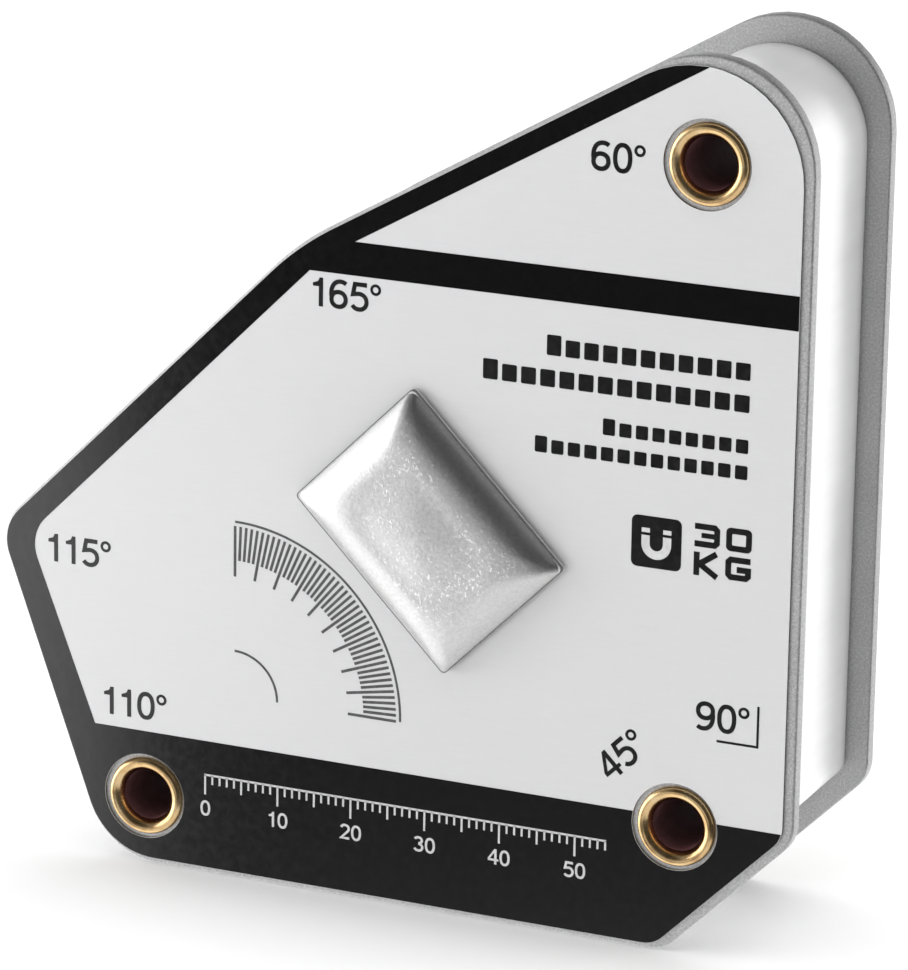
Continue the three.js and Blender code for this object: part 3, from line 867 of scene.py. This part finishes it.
def build_rating(ink, pale):
    """A dark square with a horseshoe magnet sign, and the holding force in plain figures."""
    left, low, side, corner = 70.4, 48.37, 6.4, 0.75
    piece("rating_square", block(left, low, side, side, corner), ink, "housing")
    drop = 0.2
    centre_x, centre_z = left + side / 2, low + side / 2 - drop
    outer, inner, leg = 1.9, 0.85, 1.0
    tip, tip_gap, tip_corner = 0.55, 0.35, 0.05
    bend = [(centre_x + outer * cos(a), centre_z + outer * sin(a)) for a in arc(180, 360, 20)]
    bend += [(centre_x + outer, centre_z + leg), (centre_x + inner, centre_z + leg)]
    bend += [(centre_x + inner * cos(a), centre_z + inner * sin(a)) for a in arc(360, 180, 20)]
    bend += [(centre_x - inner, centre_z + leg), (centre_x - outer, centre_z + leg)]
    front, back = INK_FRONT - INK, INK_FRONT
    meshes = [flat_slab([bend], front, back)]
    for x in (centre_x - outer, centre_x + inner):
        meshes.append(block(x, centre_z + leg + tip_gap, outer - inner, tip, tip_corner, front, back))
    piece("magnet_sign", merged(*meshes), pale, "housing")
    piece("rating_figures", merged(*rating_meshes()), ink, "housing")


def arc(start, end, steps):
    return [radians(start + (end - start) * k / steps) for k in range(steps + 1)]


PROTRACTOR_CENTRE, PROTRACTOR_RADIUS = (18.0, 24.0), 22.0
LONG_LINE, SHORT_LINE, LINE_WIDTH = 6.5, 4.4, 0.36
RIM_GAP, HUB_RADIUS, ARC_WIDTH = 0.7, 6.0, 0.3


def build_protractor(ink):
    """A quarter protractor drawn in fine lines, left of the knob, with a line at every second degree."""
    x, z = PROTRACTOR_CENTRE
    outer = PROTRACTOR_RADIUS
    meshes = []
    for k in range(46):
        c, s = cos(radians(2 * k)), sin(radians(2 * k))
        start = outer - (LONG_LINE if k % 5 == 0 else SHORT_LINE)
        meshes.append(bar(x + start * c, z + start * s, x + outer * c, z + outer * s, LINE_WIDTH))
    for radius in (outer + RIM_GAP, HUB_RADIUS):
        inner = radius - ARC_WIDTH
        ring = [(x + radius * cos(a), z + radius * sin(a)) for a in arc(0, 90, 36)]
        ring += [(x + inner * cos(a), z + inner * sin(a)) for a in arc(90, 0, 36)]
        meshes.append(flat_slab([ring], INK_FRONT, LABEL_FACE))
    piece("protractor_print", merged(*meshes), ink, "housing")


SCALE_START, SCALE_TOP, SCALE_LENGTH = 14.0, 13.0, 54
SCALE_LONG, SCALE_MEDIUM, SCALE_SHORT, SCALE_LINE = 2.6, 1.9, 1.2, 0.26
SCALE_FIGURE, SCALE_FIGURE_FOOT, ROW_SPARE = 2.0, 7.6, 0.1


def build_scale(ink):
    """A millimetre scale on the dark band, with figures at each centimetre."""
    front, back = INK_FRONT - INK, INK_FRONT
    start, top, length, line = SCALE_START, SCALE_TOP, SCALE_LENGTH, SCALE_LINE
    meshes = []
    for k in range(length + 1):
        tick = SCALE_LONG if k % 10 == 0 else SCALE_MEDIUM if k % 5 == 0 else SCALE_SHORT
        meshes.append(bar(start + k, top - tick, start + k, top, line, front, back))
    meshes.append(bar(start - line / 2, top, start + length + line / 2, top, line, front, back))
    for k in range(0, length + 1, 10):
        shapes, reach = row_of_figures(str(k))
        left = start + k - SCALE_FIGURE * (reach - ROW_SPARE) / 2
        meshes.append(drawn(shapes, left, SCALE_FIGURE_FOOT, SCALE_FIGURE, 0, front))
    piece("scale_print", merged(*meshes), ink, "housing")


# ---------------------------------------------------------------- rivets and bushes

RIVET_BORE, RIVET_TUBE, RIVET_FLANGE, RIVET_HEAD = 3.22, 4.1, 5.05, 0.9
RIVET_CREST, RIVET_FLARE, RIVET_CHAMFER = 4.4, 1.0, 0.1
HEAD_STEPS = 10
# depth from each end of a rivet where the painted bore shade begins
BORE_SHADE_START = 0.5


def rolled_head():
    """Half the section of a rivet's rolled head, from the bore over the crest to the plate, facing front."""
    points = []
    for k in range(HEAD_STEPS + 1):
        angle = pi / 2 * k / HEAD_STEPS
        points.append((RIVET_CREST - (RIVET_CREST - RIVET_BORE) * cos(angle),
                       RIVET_FLARE - (RIVET_FLARE + RIVET_HEAD) * sin(angle)))
    for k in range(1, HEAD_STEPS + 1):
        angle = pi / 2 * k / HEAD_STEPS
        points.append((RIVET_CREST + (RIVET_FLANGE - RIVET_CREST) * sin(angle), -RIVET_HEAD * cos(angle)))
    points.append((RIVET_FLANGE - RIVET_CHAMFER, 0.0))
    points.append((RIVET_TUBE, 0.0))
    return points


def build_rivets(metal, bore):
    head = rolled_head()
    profile = head + [(r, DEPTH - y) for r, y in reversed(head)]
    for name, at in RIVETS.items():
        obj = piece(f"{name}_hollow_rivet", turned(profile, at.x, at.z, 72), metal, "housing",
                    [f"{name}_rivet"], sharp=50)
        obj.data.materials.append(bore)
        for face in obj.data.polygons:
            depth = to_sketch(face.center).y
            faces_in = (face.center - ORIGIN - at * MM).dot(face.normal) < 0
            # faces inside the bore, away from both ends, get the painted bore shade
            if faces_in and BORE_SHADE_START < depth < DEPTH - BORE_SHADE_START:
                face.material_index = 1


def build_rear_bush(metal):
    """The bush and the shaft end that show in the middle of the back plate."""
    bore, barrel, flange = 4.0, 5.9, 8.0
    chamfer, thickness = 0.25, 1
    near, step, end = DEPTH, BACK_FACE, BACK_FACE - thickness
    profile = [(bore, near - chamfer), (bore + chamfer, near), (barrel - chamfer, near),
               (barrel, near - chamfer), (barrel, step), (flange, step), (flange, end), (bore, end)]
    piece("rear_shaft_bush", turned(profile, AXIS.x, AXIS.z), metal, "housing", ["rear_bush"])


# ---------------------------------------------------------------- knob


FLANK_RADIUS = KNOB_SHOULDER / sin(radians(KNOB_SLOPE))
FLANK_BASE = FLANK_RADIUS * cos(radians(KNOB_SLOPE))
SIDE_STEPS, CORNER_STEPS, FLANK_STEPS, DOME_STEPS = 8, 8, 14, 9
# rings of the upper rim and the ledge's outer edge, which get the painted dark shade line
KNOB_SHADE_RINGS = (1, 2)
KNOB_PEAK = 0.02


def knob_loop(half_x, half_z, corner):
    """A rectangle with rounded corners about the knob's own axis, always with the same number of points."""
    centres = [(half_x - corner, half_z - corner), (corner - half_x, half_z - corner),
               (corner - half_x, corner - half_z), (half_x - corner, corner - half_z)]
    points = []
    for i, (x, z) in enumerate(centres):
        arc_points = [(x + corner * cos(a), z + corner * sin(a))
                      for a in arc(90 * i, 90 * i + 90, CORNER_STEPS)]
        next_x, next_z = centres[(i + 1) % 4]
        a = radians(90 * i + 90)
        end = (next_x + corner * cos(a), next_z + corner * sin(a))
        start = arc_points[-1]
        side = [(start[0] + (end[0] - start[0]) * k / SIDE_STEPS,
                 start[1] + (end[1] - start[1]) * k / SIDE_STEPS) for k in range(1, SIDE_STEPS)]
        points += arc_points + side
    return points


def knob_rings():
    """From the foot to the middle of the top: (half width, half length, corner, height) of each ring."""
    half_x, half_z = KNOB_WIDTH / 2, KNOB_LENGTH / 2
    rim, sharp, soft = KNOB_CORNERS
    rings = [(half_x, half_z, rim, height) for height in (0.0, KNOB_BRIGHT_RIM, KNOB_RIM)]
    rings.append((half_x - KNOB_LINE, half_z - KNOB_LINE, rim, KNOB_RIM))
    for k in range(FLANK_STEPS + 1):
        angle = radians(KNOB_SLOPE) * (1 - k / FLANK_STEPS)
        part = sin(angle) / sin(radians(KNOB_SLOPE))
        inset = KNOB_LEDGE + (KNOB_SHOULDER - KNOB_LEDGE) * (1 - part)
        height = KNOB_RIM + FLANK_RADIUS * cos(angle) - FLANK_BASE
        rings.append((half_x - inset, half_z - inset, soft + (sharp - soft) * part, height))
    top_x, top_z, corner, crown = rings[-1]
    for k in range(1, DOME_STEPS):
        scale = 1 - k / DOME_STEPS
        dome = KNOB_DOME * (1 - scale * scale) ** 2
        rings.append((top_x * scale, top_z * scale, corner * scale, crown + dome))
    return rings


def knob_mesh():
    """A pillow on a low upright rim: arched flanks, soft corners and a slightly domed top."""
    bm = bmesh.new()
    loops = [[bm.verts.new((x, -height, z)) for x, z in knob_loop(half_x, half_z, corner)]
             for half_x, half_z, corner, height in knob_rings()]
    for k, (near, far) in enumerate(zip(loops, loops[1:])):
        made = len(bm.faces)
        bridge(bm, near, far)
        bm.faces.ensure_lookup_table()
        for face in bm.faces[made:]:
            face.material_index = 1 if k in KNOB_SHADE_RINGS else 0
    peak = bm.verts.new((0, loops[-1][0].co.y - KNOB_PEAK, 0))
    for i, vert in enumerate(loops[-1]):
        bm.faces.new((vert, loops[-1][(i + 1) % len(loops[-1])], peak))
    bore = [bm.verts.new((x, 0, z)) for x, z in circle(0, 0, KNOB_BORE, 48)]
    bottom = [bm.verts.new((v.co.x, -KNOB_BORE_DEPTH, v.co.z)) for v in bore]
    cap(bm, [loops[0], bore])
    bridge(bm, bore, bottom)
    cap(bm, [bottom])
    return bm


def build_knob(metal, foot_shade):
    bm = knob_mesh()
    bm.transform(Matrix.Rotation(-radians(KNOB_TURN), 4, "Y"))
    bm.transform(Matrix.Translation((AXIS.x, KNOB_FOOT, AXIS.z)))
    knob = piece("knob_cap", bm, metal, "rotor", ["knob"], sharp=40)
    # second material: the painted shade line round the knob's foot
    knob.data.materials.append(foot_shade)


# ---------------------------------------------------------------- pieces inside, with their own finishes


def finish_hidden_nodes(brass_metal):
    iron = machined("machined_iron", (0.35, 0.355, 0.36), 0.45)
    spacer = machined("spacer_alloy", (0.7, 0.71, 0.72), 0.35)
    nickel = machined("nickel_plate", (0.68, 0.68, 0.7), 0.15, depth=0.000003)
    black_steel = machined("black_steel", (0.05, 0.05, 0.055), 0.4, 0.8)
    nylon = machined("nylon", (0.78, 0.76, 0.7), 0.5, 0.0)
    rubber = machined("rubber", (0.02, 0.02, 0.02), 0.75, 0.0)
    finishes = {
        iron: ["left_pole_shoe", "right_pole_shoe", "upper_rotor_pole", "lower_rotor_pole"],
        spacer: ["rear_shim", "front_shim", "upper_divider", "lower_divider"],
        nickel: ["front_magnet", "rear_magnet"],
        black_steel: ["stop_pin", "upper_rotor_screw", "lower_rotor_screw"],
        nylon: ["front_thrust_washer", "rear_thrust_washer"],
        rubber: ["shaft_seal_ring"],
        brass_metal: ["front_bush", "rotor_front_cap", "rotor_rear_cap"],
    }
    for material, names in finishes.items():
        for name in names:
            mesh = frame["nodes"][name].data
            mesh.materials.clear()
            mesh.materials.append(material)


# ---------------------------------------------------------------- studio

FLOOR_HALF_SIZE = 3.0
LAMP_TARGET = Vector((0, 0, 0.055))
# each lamp: name, place, size, power in watts
LAMPS = (
    ("left_lamp", (-1.15, -0.5, 0.05), (0.7, 0.7), 7),
    ("front_lamp", (-0.4, -1.4, 0.12), (0.8, 0.5), 8),
    ("right_lamp", (1.1, 0.4, 0.3), (0.7, 0.7), 5.5),
    ("overhead_lamp", (0.1, 0.1, 1.4), (2.2, 2.2), 30),
)
SKY_PEAK = 1.5
SIDE_SHADE, SOFT_BOX = 0.07, 1.6
# degrees to the left where the bright side starts low down, and how much further from the horizon up
LEFT_START, LEFT_LEAN = 27.4, 20.0


def add_floor():
    """A flat pale floor at the object's foot."""
    bm = bmesh.new()
    far = FLOOR_HALF_SIZE
    corners = [(-far, -far), (far, -far), (far, far), (-far, far)]
    bm.faces.new([bm.verts.new((x, y, 0)) for x, y in corners])
    mesh = bpy.data.meshes.new("floor")
    bm.to_mesh(mesh)
    bm.free()
    mesh.materials.append(floor_paint())
    floor = bpy.data.objects.new("floor", mesh)
    floor.visible_glossy = False
    bpy.context.scene.collection.objects.link(floor)


def add_area_light(name, location, size, power):
    """A soft rectangular lamp aimed at the object's middle, which does not show in reflections."""
    data = bpy.data.lights.new(name, "AREA")
    data.shape = "RECTANGLE"
    data.size, data.size_y = size
    data.energy = power
    light = bpy.data.objects.new(name, data)
    light.location = location
    light.rotation_euler = (LAMP_TARGET - Vector(location)).to_track_quat("-Z", "Y").to_euler()
    light.visible_glossy = False
    bpy.context.scene.collection.objects.link(light)


class Sky:
    """The studio's brightness as a function of direction."""

    def __init__(self, tree):
        self.tree = tree
        direction = tree.nodes.new("ShaderNodeTexCoord").outputs["Generated"]
        split = tree.nodes.new("ShaderNodeSeparateXYZ")
        tree.links.new(direction, split.inputs[0])
        self.height = split.outputs["Z"]
        turn = self.math("ARCTAN2", split.outputs["X"], self.math("MULTIPLY", split.outputs["Y"], -1.0))
        self.azimuth = self.math("MULTIPLY", turn, degrees(1.0))

    def math(self, operation, a, b=0.0):
        node = self.tree.nodes.new("ShaderNodeMath")
        node.operation = operation
        for socket, value in zip(node.inputs, (a, b)):
            if isinstance(value, bpy.types.NodeSocket):
                self.tree.links.new(value, socket)
            else:
                socket.default_value = value
        return node.outputs[0]

    def rise(self, value, low, high):
        """Goes smoothly from 0 to 1 between two values."""
        node = self.tree.nodes.new("ShaderNodeMapRange")
        node.interpolation_type = "SMOOTHSTEP"
        node.inputs["From Min"].default_value = low
        node.inputs["From Max"].default_value = high
        self.tree.links.new(value, node.inputs["Value"])
        return node.outputs["Result"]

    def window(self, value, low, high, soft):
        """One between two values, with soft ends."""
        start = self.rise(value, low - soft, low + soft)
        end = self.rise(value, high - soft, high + soft)
        return self.math("SUBTRACT", start, end)

    def patch(self, across, up):
        """One inside a soft-edged patch: a window across times a window up."""
        return self.math("MULTIPLY", self.window(*across), self.window(*up))

    def by_height(self, stops):
        """Brightness through (height, brightness) stops."""
        node = self.tree.nodes.new("ShaderNodeValToRGB")
        elements = node.color_ramp.elements
        while len(elements) < len(stops):
            elements.new(0.5)
        for element, (height, value) in zip(elements, stops):
            element.position = (height + 1) / 2
            shade = value / SKY_PEAK
            element.color = (shade, shade, shade, 1)
        half = self.math("MULTIPLY", self.math("ADD", self.height, 1.0), 0.5)
        self.tree.links.new(half, node.inputs["Fac"])
        return self.math("MULTIPLY", node.outputs["Color"], SKY_PEAK)

    def blend(self, factor, first, second):
        change = self.math("MULTIPLY", factor, self.math("SUBTRACT", second, first))
        return self.math("ADD", first, change)


def add_sky():
    """A dark front with a bright floor line, a bright left side with a soft box, and a bright low back."""
    world = bpy.data.worlds.new("studio")
    bpy.context.scene.world = world
    world.use_nodes = True
    sky = Sky(world.node_tree)
    front = sky.by_height([(-1.0, 0.9), (-0.2, 0.9), (0.0, 0.7), (0.12, 0.5), (0.35, 0.3), (0.55, 0.06),
                           (1.0, 0.06)])
    shade = sky.patch((sky.azimuth, -60.0, 80.0, 5.0), (sky.height, -0.39, -0.17, 0.04))
    front = sky.blend(shade, front, sky.by_height([(-1.0, 0.22), (-0.35, 0.16), (-0.3, 0.06), (1.0, 0.04)]))
    side_shade = sky.patch((sky.azimuth, 25.0, 112.0, 8.0), (sky.height, -0.5, 0.5, 0.08))
    front = sky.blend(side_shade, front, SIDE_SHADE)
    left = sky.by_height([(-1.0, 1.4), (0.3, 1.3), (0.55, 0.3), (1.0, 0.1)])
    back = sky.by_height([(-1.0, 1.3), (0.12, 1.3), (0.28, 0.85), (0.4, 0.1), (1.0, 0.1)])
    lean = sky.math("MULTIPLY", sky.rise(sky.height, -0.25, 0.0), LEFT_LEAN)
    edge = sky.math("ADD", lean, LEFT_START)
    leftward = sky.math("MULTIPLY", sky.azimuth, -1.0)
    on_left = sky.rise(sky.math("SUBTRACT", leftward, edge), -0.6, 0.6)
    behind = sky.rise(sky.math("ABSOLUTE", sky.azimuth), 100.0, 130.0)
    box = sky.patch((leftward, 49.0, 132.0, 3.0), (sky.height, -0.36, 0.36, 0.04))
    value = sky.blend(behind, sky.blend(on_left, front, left), back)
    value = sky.math("ADD", value, sky.math("MULTIPLY", box, SOFT_BOX))
    sky.tree.links.new(value, sky.tree.nodes["Background"].inputs["Color"])


def add_light():
    add_sky()
    for lamp in LAMPS:
        add_area_light(*lamp)


# ---------------------------------------------------------------- the object


scene = bpy.context.scene
scene.view_settings.view_transform = "Standard"
add_camera()
steel = sheet_steel()
ink = dark_ink()
pale = pale_ink()
bright_brass = brass()
build_plates(steel)
build_body(bright_aluminium())
build_label(label_foil(), label_side())
build_black_print(black_ink())
build_angle_figures(ink)
build_caption_blocks(ink)
build_rating(ink, pale)
build_protractor(hatch_ink())
build_scale(pale)
build_rivets(bright_brass, dark_bore())
turned_brass = brass("turned_brass", 0.85, (0.25, 0.4))
build_rear_bush(turned_brass)
build_knob(satin_casting(), casting_ledge())
finish_hidden_nodes(turned_brass)
add_floor()
add_light()
